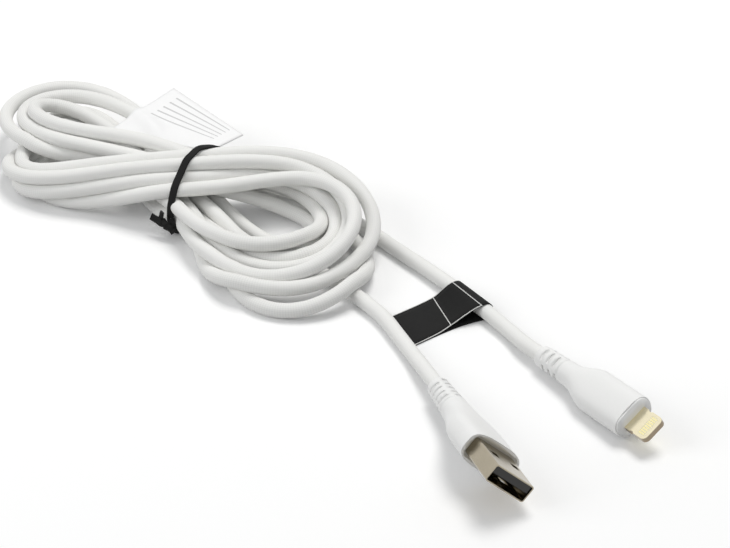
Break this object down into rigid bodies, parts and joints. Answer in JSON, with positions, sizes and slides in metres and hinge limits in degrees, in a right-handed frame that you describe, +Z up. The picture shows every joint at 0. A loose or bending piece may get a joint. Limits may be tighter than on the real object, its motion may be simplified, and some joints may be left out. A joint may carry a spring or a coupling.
{
  "type": "charging cable",
  "caption": "White braided charging cable with a type-A plug and a slim reversible phone plug, folded into a hank and held by a black twist tie, with a flag tag and a paper label",
  "frame": {"origin": "on the floor under the middle of the whole object's box", "axes": "+X along the hank towards the plugs, +Y to the rear of the hank, +Z up from the floor the cable lies on"},
  "size_m": [0.2126, 0.124, 0.0201],
  "materials": {
    "nickel_steel": "bright nickel plate, very slightly brushed along the plug",
    "insulator_ivory": "ivory moulded plastic, low gloss",
    "gold": "gold plate, bright",
    "core_red": "red wire insulation",
    "core_white": "white wire insulation",
    "core_green": "green wire insulation",
    "core_black": "black wire insulation",
    "inner_mould": "milky inner overmould",
    "steel_plain": "plain pressed steel",
    "white_tpe": "cool white soft-touch elastomer, satin",
    "tab_metal": "warm champagne-coloured metal, satin",
    "board_green": "green solder mask",
    "chip_black": "black chip packages",
    "braid": "off-white braided fabric jacket, fine weave with faint cross ribs",
    "tie_black": "black plastic ribbon, satin",
    "tag_black": "black satin printed film with a thin white edge line",
    "label_white": "white glossy paper"
  },
  "bodies": {
    "root": {"type_a_shell": "nickel_steel", "type_a_tongue": "insulator_ivory", "type_a_power_contacts": "gold", "type_a_data_contacts": "gold", "type_a_red_core": "core_red", "type_a_white_core": "core_white", "type_a_green_core": "core_green", "type_a_black_core": "core_black", "type_a_inner_mould": "inner_mould", "type_a_crimp": "steel_plain", "type_a_grip": "white_tpe", "type_a_boot": "white_tpe", "phone_tab": "tab_metal", "phone_tab_insulator": "insulator_ivory", "phone_contacts_top": "gold", "phone_contacts_bottom": "gold", "phone_board": "board_green", "phone_chips": "chip_black", "phone_shield_can": "steel_plain", "phone_red_core": "core_red", "phone_white_core": "core_white", "phone_green_core": "core_green", "phone_black_core": "core_black", "phone_inner_mould": "inner_mould", "phone_crimp": "steel_plain", "phone_collar": "white_tpe", "phone_grip": "white_tpe", "phone_boot": "white_tpe", "type_a_tail": "braid", "phone_tail": "braid", "hank": "braid", "tie_ribbon": "tie_black", "tie_wire": "steel_plain", "tie_twist": "tie_black", "flag_tag": "tag_black", "paper_label": "label_white"}
  },
  "joints": []
}
